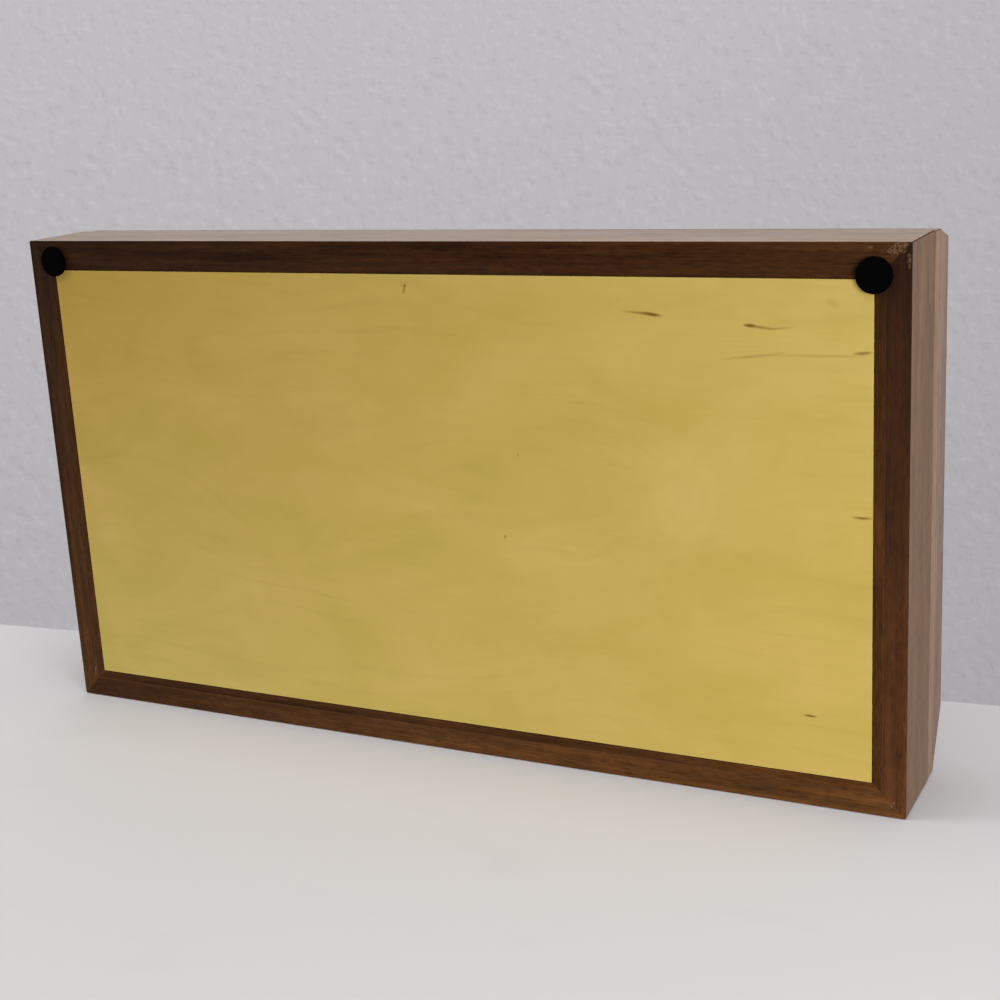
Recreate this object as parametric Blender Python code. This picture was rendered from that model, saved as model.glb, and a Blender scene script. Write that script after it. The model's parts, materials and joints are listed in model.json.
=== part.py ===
"""A slim walnut jewellery box with a bevelled lid on concealed barrel hinges.

The box stands on its feet with the lid up: X runs along the box, -Y is the front, +Z is up.
The origin is the middle of the footprint, on the plane of the feet.  All lengths are in metres.
"""

import math

import bmesh
import bpy
from mathutils import Matrix, Vector

# Case
case_length = 0.330
case_depth = 0.1814
case_height = 0.0306
wall_thickness = 0.0074
liner_thickness = 0.0062
liner_strip = 0.0030
panel_thickness = 0.0040

# Clearances between neighbouring pieces
joint_gap = 0.0003
seam_gap = 0.0003

# Lid
rim_height = 0.0060
slab_thickness = 0.0120
rail_width = 0.0380
panel_ledge_width = 0.0060
panel_ledge_thickness = 0.0060
lid_front_inset = 0.0003
lid_back_inset = 0.0005
bevel_arris = 0.0003
front_bevel_width = 0.0194
back_bevel_width = 0.0035

# Eased edges
arris = 0.0005
seam_arris = 0.0002
mitre_arris = 0.0004

# Feet
foot_radius = 0.0056
foot_thickness = 0.0012
foot_edge_radius = 0.0003
left_foot_end_inset = 0.0108
left_foot_back_inset = 0.0096
right_foot_end_inset = 0.0114
right_foot_back_inset = 0.0076

# Linings, dividers and ring rolls
lining_thickness = 0.0012
divider_thickness = 0.0040
divider_drop = 0.0040
roll_height = 0.0160
roll_shoulder_height = 0.0070
roll_end_draw = 0.0024
roll_end_length = 0.0050

# Concealed hinges
hinge_end_inset = 0.0600
barrel_radius = 0.0040
barrel_floor = 0.0030
groove_depth = 0.0003
groove_width = 0.0007
groove_pitch = 0.0022
link_width = 0.0026
link_thickness = 0.0024

# Angles and counts
link_half_angle = math.radians(57.0)
smooth_angle = math.radians(40.0)
barrel_sides = 24
groove_count = 2
link_steps = 16
slot_steps = 20
foot_sides = 40
arris_segments = 2
roll_arc_steps = 14
roll_end_steps = 4
cross_divider_count = 3
rolls_in_a_cell = 3

# Where the long divider crosses the inside, as a share of its depth from the front
long_divider_share = 0.617
# The sloping flank of a barrel's gripping groove, as a share of the groove's width
groove_flank_share = 0.3
# Two faces point the same way when this share of their directions agrees
alike_share = 0.999

# Points closer than this are one point
weld_distance = 0.000001

# Heights above the plane of the feet
underside = foot_thickness + joint_gap
rim_level = underside + case_height
lid_level = rim_level + seam_gap
slab_level = lid_level + rim_height + joint_gap
lid_top = slab_level + slab_thickness
floor_level = underside + panel_thickness + joint_gap
lining_top = floor_level + lining_thickness
hinge_level = rim_level + seam_gap / 2

# The rim is the wall, the glue line and the liner together
rim_thickness = wall_thickness + joint_gap + liner_thickness
inner_length = case_length - 2 * rim_thickness
inner_depth = case_depth - 2 * rim_thickness

# Each barrel stands in the middle of the rim, and the link bends round the hinge line
barrel_inset = rim_thickness / 2
link_inner_radius = barrel_inset - link_width / 2
link_outer_radius = barrel_inset + link_width / 2
barrel_length = link_outer_radius * math.sin(link_half_angle) + barrel_floor
hinge_line_y = case_depth / 2
barrel_y = hinge_line_y - barrel_inset

UP = Vector((0.0, 0.0, 1.0))
DOWN = Vector((0.0, 0.0, -1.0))


def clear_scene():
    """Removes whatever the scene holds."""
    for old in list(bpy.data.objects):
        bpy.data.objects.remove(old)


def finish_material(name, colour, roughness, metallic=0.0):
    """A Principled material of one colour."""
    material = bpy.data.materials.new(name)
    material.use_nodes = True
    material.diffuse_color = (*colour, 1.0)
    shader = material.node_tree.nodes["Principled BSDF"]
    shader.inputs["Base Color"].default_value = (*colour, 1.0)
    shader.inputs["Roughness"].default_value = roughness
    shader.inputs["Metallic"].default_value = metallic
    return material


def walnut(name):
    """Oiled walnut, dark brown."""
    return finish_material(name + "_walnut", (0.095, 0.048, 0.025), 0.55)


def pale_walnut(name):
    """The lighter sapwood of the strip above the seam."""
    return finish_material(name + "_sapwood", (0.230, 0.150, 0.095), 0.55)


def birch_ply(name):
    """Clear-finished birch plywood, warm yellow."""
    return finish_material(name + "_birch", (0.560, 0.410, 0.140), 0.40)


def black_felt(name):
    """Matt black felt of the feet."""
    return finish_material(name + "_felt", (0.006, 0.006, 0.007), 0.95)


def velvet(name):
    """Charcoal velvet of the linings and the ring rolls."""
    return finish_material(name + "_velvet", (0.030, 0.030, 0.034), 0.90)


def brass(name):
    """Plain turned brass."""
    return finish_material(name + "_brass", (0.720, 0.500, 0.190), 0.30, 1.0)


def pick(geometry, kind):
    """The items of one kind in what a bmesh operator returns."""
    return [item for item in geometry if isinstance(item, kind)]


def sweep(outline, travel):
    """A closed prism: the flat outline swept along a straight line."""
    mesh = bmesh.new()
    face = mesh.faces.new([mesh.verts.new(point) for point in outline])
    swept = bmesh.ops.extrude_face_region(mesh, geom=[face])
    bmesh.ops.translate(mesh, vec=travel, verts=pick(swept["geom"], bmesh.types.BMVert))
    bmesh.ops.recalc_face_normals(mesh, faces=mesh.faces)
    return mesh


def saw(mesh, point, normal):
    """Saws off what lies beyond a plane, on the side that its normal points to."""
    everything = mesh.verts[:] + mesh.edges[:] + mesh.faces[:]
    sawn = bmesh.ops.bisect_plane(
        mesh, geom=everything, dist=weld_distance, plane_co=point, plane_no=normal, clear_outer=True
    )
    bmesh.ops.holes_fill(mesh, edges=pick(sawn["geom_cut"], bmesh.types.BMEdge), sides=0)


def ease(mesh, ways, width):
    """Rounds each edge between two faces that both point one of the given ways."""
    bmesh.ops.recalc_face_normals(mesh, faces=mesh.faces)

    def points_there(face):
        return any(face.normal.dot(way) > alike_share for way in ways)

    edges = [
        edge
        for edge in mesh.edges
        if all(points_there(face) for face in edge.link_faces)
        and edge.link_faces[0].normal.dot(edge.link_faces[-1].normal) < alike_share
    ]
    bmesh.ops.bevel(
        mesh, geom=edges, offset=width, affect="EDGES", segments=arris_segments, profile=0.5
    )


def place(name, mesh, material, origin=Vector(), parent=None):
    """Makes an object of a mesh drawn in world places, with its origin where it is asked for."""
    bmesh.ops.remove_doubles(mesh, verts=mesh.verts, dist=weld_distance)
    bmesh.ops.recalc_face_normals(mesh, faces=mesh.faces)
    bmesh.ops.translate(mesh, vec=-origin, verts=mesh.verts)
    data = bpy.data.meshes.new(name)
    mesh.to_mesh(data)
    mesh.free()
    data.materials.append(material)
    piece = bpy.data.objects.new(name, data)
    bpy.context.collection.objects.link(piece)
    piece.location = origin
    if parent is not None:
        piece.parent = parent
        piece.location = origin - parent.location
    return piece


def smooth(piece):
    """Shades a round piece smooth, with its sharp edges kept."""
    piece.data.shade_smooth()
    piece.data.set_sharp_from_angle(angle=smooth_angle)


def hollow(piece, cutter):
    """Cuts a hole of the cutter's shape in a piece."""
    cut = piece.modifiers.new("cut", "BOOLEAN")
    cut.operation = "DIFFERENCE"
    cut.solver = "EXACT"
    cut.object = cutter


def as_cutter(cutter):
    """Marks an object as a cutter, which isn't part of the box."""
    cutter.hide_render = True
    cutter.display_type = "WIRE"
    return cutter


def cuboid(x_span, y_span, z_span):
    """A box between its lowest and highest values on each axis."""
    outline = [
        Vector((x_span[0], y_span[0], z_span[0])),
        Vector((x_span[1], y_span[0], z_span[0])),
        Vector((x_span[1], y_span[1], z_span[0])),
        Vector((x_span[0], y_span[1], z_span[0])),
    ]
    return sweep(outline, UP * (z_span[1] - z_span[0]))


def mitred_strip(start, end, section, eased_edges, bevels=()):
    """A strip of wood along one side of a frame, with a mitre at each end.

    The section's points are (distance inwards from the outer edge, height).  The mitres'
    outer tips are taken off, the bevels are sawn, and then the edges are eased.
    """
    along = (end - start).normalized()
    inward = UP.cross(along)
    mesh = sweep([start + inward * depth + UP * height for depth, height in section], end - start)
    for corner, heading in ((start, along), (end, -along)):
        mitre = (inward - heading).normalized()
        saw(mesh, corner - mitre * joint_gap / 2, mitre)
        saw(mesh, corner + heading * mitre_arris, (-inward - heading).normalized())
    for point, normal in bevels:
        saw(mesh, point, normal)
    for ways, width in eased_edges(-inward):
        ease(mesh, ways, width)
    return mesh


def frame_of_four(names, x_span, y_span, section, eased_edges, make_material, bevels=(), parent=None):
    """Four mitred strips round a rectangle: front, right, back and left."""
    corners = [
        Vector((x_span[0], y_span[0], 0.0)),
        Vector((x_span[1], y_span[0], 0.0)),
        Vector((x_span[1], y_span[1], 0.0)),
        Vector((x_span[0], y_span[1], 0.0)),
    ]
    pieces = {}
    for index, name in enumerate(names):
        start = corners[index]
        end = corners[(index + 1) % len(corners)]
        mesh = mitred_strip(start, end, section, eased_edges, bevels)
        pieces[name] = place(name, mesh, make_material(name), parent=parent)
    return pieces


def eased_wall(outward):
    """A wall's outer edges: the lower one, and the upper one at the seam."""
    return ((outward, DOWN), arris), ((outward, UP), seam_arris)


def eased_liner(outward):
    """A liner's upper edge, inside the case."""
    return (((-outward, UP), arris),)


def eased_rim(outward):
    """A rim strip's lower edges: the outer one at the seam, and the inner one."""
    return ((outward, DOWN), seam_arris), ((-outward, DOWN), arris)


def eased_frame(outward):
    """The edges of the lid's top: along its bevels, and down its square ends."""
    ways = [UP, *(normal for _, normal in lid_bevels())]
    if abs(outward.x) > abs(outward.y):
        ways.append(outward)
    return ((ways, arris),)


def make_walls():
    """The four outer walls of the case."""
    section = [
        (0.0, underside),
        (wall_thickness, underside),
        (wall_thickness, rim_level),
        (0.0, rim_level),
    ]
    names = ("front_wall", "right_wall", "back_wall", "left_wall")
    x_span = (-case_length / 2, case_length / 2)
    y_span = (-case_depth / 2, case_depth / 2)
    return frame_of_four(names, x_span, y_span, section, eased_wall, walnut)


def make_liners():
    """The four liners inside the walls, rabbeted over the edge of the bottom panel."""
    section = [
        (0.0, underside),
        (liner_strip, underside),
        (liner_strip, floor_level),
        (liner_thickness, floor_level),
        (liner_thickness, rim_level),
        (0.0, rim_level),
    ]
    names = ("front_liner", "right_liner", "back_liner", "left_liner")
    reach_x = case_length / 2 - wall_thickness - joint_gap
    reach_y = case_depth / 2 - wall_thickness - joint_gap
    x_span = (-reach_x, reach_x)
    y_span = (-reach_y, reach_y)
    return frame_of_four(names, x_span, y_span, section, eased_liner, walnut)


def make_bottom_panel():
    """The plywood bottom, flush with the underside."""
    margin = wall_thickness + joint_gap + liner_strip + joint_gap
    reach_x = case_length / 2 - margin
    reach_y = case_depth / 2 - margin
    mesh = cuboid((-reach_x, reach_x), (-reach_y, reach_y), (underside, underside + panel_thickness))
    place("bottom_panel", mesh, birch_ply("bottom_panel"))


def make_foot(name, x, y):
    """A round felt pad with a softened edge."""
    mesh = bmesh.new()
    bmesh.ops.create_cone(
        mesh,
        cap_ends=True,
        segments=foot_sides,
        radius1=foot_radius,
        radius2=foot_radius,
        depth=foot_thickness,
        matrix=Matrix.Translation((x, y, foot_thickness / 2)),
    )
    lower = [edge for edge in mesh.edges if all(v.co.z < foot_thickness / 2 for v in edge.verts)]
    bmesh.ops.bevel(
        mesh, geom=lower, offset=foot_edge_radius, affect="EDGES", segments=arris_segments, profile=0.5
    )
    smooth(place(name, mesh, black_felt(name)))


def make_feet():
    """The two feet at the back corners."""
    left_x = -case_length / 2 + left_foot_end_inset
    right_x = case_length / 2 - right_foot_end_inset
    make_foot("foot_left", left_x, case_depth / 2 - left_foot_back_inset)
    make_foot("foot_right", right_x, case_depth / 2 - right_foot_back_inset)


def make_floor_lining():
    """The fabric lining that lies on the bottom panel."""
    reach_x = inner_length / 2 - joint_gap
    reach_y = inner_depth / 2 - joint_gap
    mesh = cuboid((-reach_x, reach_x), (-reach_y, reach_y), (floor_level, lining_top))
    place("floor_lining", mesh, velvet("floor_lining"))


def long_divider_y():
    """Where the long divider's middle plane stands."""
    return -inner_depth / 2 + inner_depth * long_divider_share


def cross_divider_places():
    """The middle planes of the cross dividers, evenly spaced along the inside."""
    pitch = inner_length / (cross_divider_count + 1)
    return [-inner_length / 2 + pitch * (step + 1) for step in range(cross_divider_count)]


def notched_outline(reach, plain_edge, notched_edge, notches, notch_floor):
    """The side view of a divider, as (place along it, height), with notches in one edge."""
    half = divider_thickness / 2 + joint_gap
    points = [(-reach, plain_edge), (reach, plain_edge), (reach, notched_edge)]
    for middle in sorted(notches, reverse=True):
        points += [
            (middle + half, notched_edge),
            (middle + half, notch_floor),
            (middle - half, notch_floor),
            (middle - half, notched_edge),
        ]
    points.append((-reach, notched_edge))
    return points


def make_dividers():
    """The long divider and the cross dividers, halved into each other like an egg crate."""
    bottom = lining_top + joint_gap
    top = rim_level - divider_drop
    middle = (bottom + top) / 2
    half = divider_thickness / 2
    reach_x = inner_length / 2 - joint_gap
    reach_y = inner_depth / 2 - joint_gap
    y = long_divider_y()
    notches = cross_divider_places()
    outline = notched_outline(reach_x, bottom, top, notches, middle - joint_gap / 2)
    face = [Vector((along, y - half, height)) for along, height in outline]
    mesh = sweep(face, Vector((0.0, divider_thickness, 0.0)))
    ease(mesh, (UP, Vector((0.0, 1.0, 0.0)), Vector((0.0, -1.0, 0.0))), arris)
    place("long_divider", mesh, walnut("long_divider"))
    outline = notched_outline(reach_y, top, bottom, [y], middle + joint_gap / 2)
    for number, x in enumerate(notches, start=1):
        face = [Vector((x - half, along, height)) for along, height in outline]
        mesh = sweep(face, Vector((divider_thickness, 0.0, 0.0)))
        ease(mesh, (UP, Vector((1.0, 0.0, 0.0)), Vector((-1.0, 0.0, 0.0))), arris)
        name = f"cross_divider_{number}"
        place(name, mesh, walnut(name))


def roll_section(width, draw):
    """The end view of a ring roll: a flat foot, straight cheeks and a domed top."""
    half = width / 2 - draw
    crown = roll_height - roll_shoulder_height - draw
    foot = [(half, 0.0)]
    for step in range(roll_arc_steps + 1):
        turn = math.pi * step / roll_arc_steps
        foot.append((half * math.cos(turn), roll_shoulder_height + crown * math.sin(turn)))
    foot.append((-half, 0.0))
    return foot


def roll_stations(low, high):
    """Places along a ring roll and how far its cover is drawn in there, rounding off both ends."""
    stations = []
    for step in range(roll_end_steps + 1):
        turn = math.pi / 2 * step / roll_end_steps
        from_end = roll_end_length * (1 - math.cos(turn))
        draw = roll_end_draw * (1 - math.sin(turn))
        stations += [(low + from_end, draw), (high - from_end, draw)]
    return sorted(stations)


def make_roll(name, x_span, y, width):
    """One padded ring roll, its ends drawn in where the cover is gathered."""
    base = lining_top + joint_gap
    mesh = bmesh.new()
    loops = []
    for x, draw in roll_stations(*x_span):
        ring = [mesh.verts.new((x, y + across, base + up)) for across, up in roll_section(width, draw)]
        loops.append([mesh.edges.new(pair) for pair in zip(ring, ring[1:] + ring[:1])])
    for near, far in zip(loops, loops[1:]):
        bmesh.ops.bridge_loops(mesh, edges=near + far)
    bmesh.ops.holes_fill(mesh, edges=loops[0] + loops[-1], sides=0)
    smooth(place(name, mesh, velvet(name)))


def make_ring_rolls():
    """Rows of ring rolls in the two back compartments on the right."""
    near = long_divider_y() + divider_thickness / 2
    pitch = (inner_depth / 2 - near) / rolls_in_a_cell
    ends = [*cross_divider_places(), inner_length / 2 + divider_thickness / 2]
    number = 0
    for left, right in zip(ends[1:], ends[2:]):
        x_low = left + divider_thickness / 2 + joint_gap
        x_high = right - divider_thickness / 2 - joint_gap
        for row in range(rolls_in_a_cell):
            number += 1
            y = near + pitch * (row + 0.5)
            make_roll(f"ring_roll_{number}", (x_low, x_high), y, pitch - joint_gap)


def ring_sector(x, thickness, inner, outer, low_angle, high_angle, steps):
    """A flat curved bar that bends round the hinge line, between two angles.

    An angle of zero points at the front of the box, and a positive one is above the seam.
    """
    mesh = bmesh.new()
    direction = Vector((0.0, -math.cos(low_angle), math.sin(low_angle)))
    centre = Vector((x, hinge_line_y, hinge_level))
    side = Vector((thickness / 2, 0.0, 0.0))
    corners = [
        centre + direction * inner - side,
        centre + direction * outer - side,
        centre + direction * outer + side,
        centre + direction * inner + side,
    ]
    face = mesh.faces.new([mesh.verts.new(point) for point in corners])
    bmesh.ops.spin(
        mesh,
        geom=[face],
        cent=centre,
        axis=(-1.0, 0.0, 0.0),
        angle=high_angle - low_angle,
        steps=steps,
    )
    bmesh.ops.recalc_face_normals(mesh, faces=mesh.faces)
    return mesh


def grooved_barrel(x, mouth, direction):
    """A turned barrel with shallow gripping grooves, its mouth at the seam."""
    profile = [(barrel_radius, 0.0)]
    first = barrel_length - groove_pitch * groove_count
    for step in range(groove_count):
        depth = first + groove_pitch * step
        flank = groove_width * groove_flank_share
        profile.append((barrel_radius, depth))
        profile.append((barrel_radius - groove_depth, depth + flank))
        profile.append((barrel_radius - groove_depth, depth + groove_width - flank))
        profile.append((barrel_radius, depth + groove_width))
    profile.append((barrel_radius, barrel_length))
    mesh = bmesh.new()
    line = [
        mesh.verts.new((x + radius, barrel_y, mouth + direction * depth)) for radius, depth in profile
    ]
    edges = [mesh.edges.new(pair) for pair in zip(line, line[1:])]
    bmesh.ops.spin(
        mesh,
        geom=line + edges,
        cent=(x, barrel_y, mouth),
        axis=UP,
        angle=math.tau,
        steps=barrel_sides,
        use_merge=True,
    )
    rims = [edge for edge in mesh.edges if edge.is_boundary]
    bmesh.ops.holes_fill(mesh, edges=rims, sides=0)
    bmesh.ops.recalc_face_normals(mesh, faces=mesh.faces)
    return mesh


def make_hinge(side, x, bored, lid_pivot):
    """One concealed hinge: a barrel in the case, a barrel in the lid and the curved link between."""
    hinge_origin = Vector((x, hinge_line_y, hinge_level))
    slack_angle = joint_gap / barrel_inset
    slot = as_cutter(
        place(
            f"slot_cutter_{side}",
            ring_sector(
                x,
                link_thickness + 2 * joint_gap,
                link_inner_radius - joint_gap,
                link_outer_radius + joint_gap,
                -link_half_angle - slack_angle,
                link_half_angle + slack_angle,
                slot_steps,
            ),
            brass(f"slot_cutter_{side}"),
        )
    )
    case_barrel = place(
        f"case_barrel_{side}", grooved_barrel(x, rim_level, -1.0), brass(f"case_barrel_{side}")
    )
    lid_barrel = place(
        f"lid_barrel_{side}",
        grooved_barrel(x, lid_level, 1.0),
        brass(f"lid_barrel_{side}"),
        hinge_origin,
        lid_pivot,
    )
    for barrel in (case_barrel, lid_barrel):
        hollow(barrel, slot)
        smooth(barrel)
    link = place(
        f"hinge_link_{side}",
        ring_sector(
            x,
            link_thickness,
            link_inner_radius,
            link_outer_radius,
            -link_half_angle,
            link_half_angle,
            link_steps,
        ),
        brass(f"hinge_link_{side}"),
        hinge_origin,
    )
    smooth(link)

    bore = bmesh.new()
    low = rim_level - barrel_length - joint_gap
    high = lid_level + barrel_length + joint_gap
    bmesh.ops.create_cone(
        bore,
        cap_ends=True,
        segments=barrel_sides,
        radius1=barrel_radius + joint_gap,
        radius2=barrel_radius + joint_gap,
        depth=high - low,
        matrix=Matrix.Translation((x, barrel_y, (low + high) / 2)),
    )
    drill = as_cutter(place(f"bore_cutter_{side}", bore, brass(f"bore_cutter_{side}")))
    for piece in bored:
        hollow(piece, drill)


def make_lid_rim(lid_pivot):
    """The four strips of paler wood under the lid's frame."""
    section = [
        (0.0, lid_level),
        (rim_thickness, lid_level),
        (rim_thickness, lid_level + rim_height),
        (0.0, lid_level + rim_height),
    ]
    names = ("lid_rim_front", "lid_rim_right", "lid_rim_back", "lid_rim_left")
    x_span = (-case_length / 2, case_length / 2)
    y_span = (-case_depth / 2 + lid_front_inset, case_depth / 2 - lid_back_inset)
    return frame_of_four(
        names, x_span, y_span, section, eased_rim, pale_walnut, parent=lid_pivot
    )


def lid_bevels():
    """The planes of the wide bevel along the front and the steep one along the back."""
    rise = slab_thickness - bevel_arris
    start = slab_level + bevel_arris
    front = Vector((0.0, -case_depth / 2 + lid_front_inset, start))
    back = Vector((0.0, case_depth / 2 - lid_back_inset, start))
    return (
        (front, Vector((0.0, -rise, front_bevel_width)).normalized()),
        (back, Vector((0.0, rise, back_bevel_width)).normalized()),
    )


def make_lid_frame(lid_pivot):
    """The lid's mitred frame, rabbeted for its panel and bevelled along the front and the back."""
    ledge_top = slab_level + panel_ledge_thickness
    section = [
        (0.0, slab_level),
        (rail_width, slab_level),
        (rail_width, ledge_top),
        (rail_width - panel_ledge_width, ledge_top),
        (rail_width - panel_ledge_width, lid_top),
        (0.0, lid_top),
    ]
    names = ("lid_rail_front", "lid_stile_right", "lid_rail_back", "lid_stile_left")
    x_span = (-case_length / 2, case_length / 2)
    y_span = (-case_depth / 2 + lid_front_inset, case_depth / 2 - lid_back_inset)
    return frame_of_four(
        names, x_span, y_span, section, eased_frame, walnut, lid_bevels(), lid_pivot
    )


def make_lid_panel(lid_pivot):
    """The lid's flush centre panel, which sits in the frame's rabbet."""
    margin = rail_width - panel_ledge_width + joint_gap
    x_reach = case_length / 2 - margin
    y_span = (
        -case_depth / 2 + lid_front_inset + margin,
        case_depth / 2 - lid_back_inset - margin,
    )
    z_span = (slab_level + panel_ledge_thickness + joint_gap, lid_top)
    mesh = cuboid((-x_reach, x_reach), y_span, z_span)
    place("lid_panel", mesh, walnut("lid_panel"), parent=lid_pivot)


def make_lid_lining(lid_pivot):
    """The lining board that closes the underside of the lid inside its rim."""
    x_reach = inner_length / 2 - joint_gap
    margin = rim_thickness + joint_gap
    y_span = (
        -case_depth / 2 + lid_front_inset + margin,
        case_depth / 2 - lid_back_inset - margin,
    )
    top = slab_level - joint_gap
    mesh = cuboid((-x_reach, x_reach), y_span, (top - lining_thickness, top))
    place("lid_lining", mesh, velvet("lid_lining"), parent=lid_pivot)


def make_lid_pivot():
    """An empty on the hinge line, which carries the lid's pieces."""
    pivot = bpy.data.objects.new("lid_pivot", None)
    pivot.location = (0.0, hinge_line_y, hinge_level)
    pivot.empty_display_size = rail_width
    bpy.context.collection.objects.link(pivot)
    return pivot


def main():
    """Builds the case, then the lid, then the hinges that join them."""
    clear_scene()
    lid_pivot = make_lid_pivot()
    walls = make_walls()
    liners = make_liners()
    make_bottom_panel()
    make_feet()
    make_floor_lining()
    make_dividers()
    make_ring_rolls()
    rims = make_lid_rim(lid_pivot)
    rails = make_lid_frame(lid_pivot)
    make_lid_panel(lid_pivot)
    make_lid_lining(lid_pivot)
    bored = (
        walls["back_wall"],
        liners["back_liner"],
        rims["lid_rim_back"],
        rails["lid_rail_back"],
    )
    hinge_x = case_length / 2 - hinge_end_inset
    make_hinge("left", -hinge_x, bored, lid_pivot)
    make_hinge("right", hinge_x, bored, lid_pivot)


main()
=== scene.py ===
"""Dresses the walnut jewellery box: its woods, fabrics, brass, glue lines and the studio round it."""

import json
import logging
import math
import random
from dataclasses import dataclass, field
from enum import Enum

import bmesh
import bpy
from mathutils import Matrix, Vector

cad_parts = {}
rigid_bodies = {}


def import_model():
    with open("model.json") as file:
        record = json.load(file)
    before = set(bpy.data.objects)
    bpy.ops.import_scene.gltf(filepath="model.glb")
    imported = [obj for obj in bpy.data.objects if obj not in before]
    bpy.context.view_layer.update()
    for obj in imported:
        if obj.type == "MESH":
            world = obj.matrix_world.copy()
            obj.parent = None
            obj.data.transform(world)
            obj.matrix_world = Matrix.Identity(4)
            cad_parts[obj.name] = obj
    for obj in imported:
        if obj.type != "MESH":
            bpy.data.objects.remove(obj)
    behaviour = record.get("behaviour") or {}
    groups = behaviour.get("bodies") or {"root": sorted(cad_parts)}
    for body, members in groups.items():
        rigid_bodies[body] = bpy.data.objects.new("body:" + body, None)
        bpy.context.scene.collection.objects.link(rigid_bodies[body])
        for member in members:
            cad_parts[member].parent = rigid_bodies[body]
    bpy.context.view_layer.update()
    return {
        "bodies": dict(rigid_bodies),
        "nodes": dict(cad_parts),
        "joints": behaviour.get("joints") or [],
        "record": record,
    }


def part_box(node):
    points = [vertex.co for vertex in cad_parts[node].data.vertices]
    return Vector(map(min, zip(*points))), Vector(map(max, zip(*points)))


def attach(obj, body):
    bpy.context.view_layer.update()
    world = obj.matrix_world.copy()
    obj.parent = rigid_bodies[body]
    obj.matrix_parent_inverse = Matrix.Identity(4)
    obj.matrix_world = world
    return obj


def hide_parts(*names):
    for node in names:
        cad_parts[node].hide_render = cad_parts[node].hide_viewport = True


LOG = logging.getLogger("jewellery_box")

Colour = tuple[float, float, float]
Point = tuple[float, float, float]
Mesh = bmesh.types.BMesh
Material = bpy.types.Material
Socket = bpy.types.NodeSocket
Value = Socket | float | Colour
Shell = tuple[list[Vector], list[list[int]]]

ORIGIN: Point = (0.0, 0.0, 0.0)
SHARP_EDGE = 42.0


class Body(Enum):
    """The rigid bodies that pieces move with."""

    CASE = "case"
    LID = "lid"


class Slot(Enum):
    """The material slots of the record."""

    WALNUT = "walnut"
    FELT = "felt"
    VELVET = "velvet"


class Grain(Enum):
    """The axis that a board's grain runs along."""

    ALONG_X = 0
    ALONG_Y = 1


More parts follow.
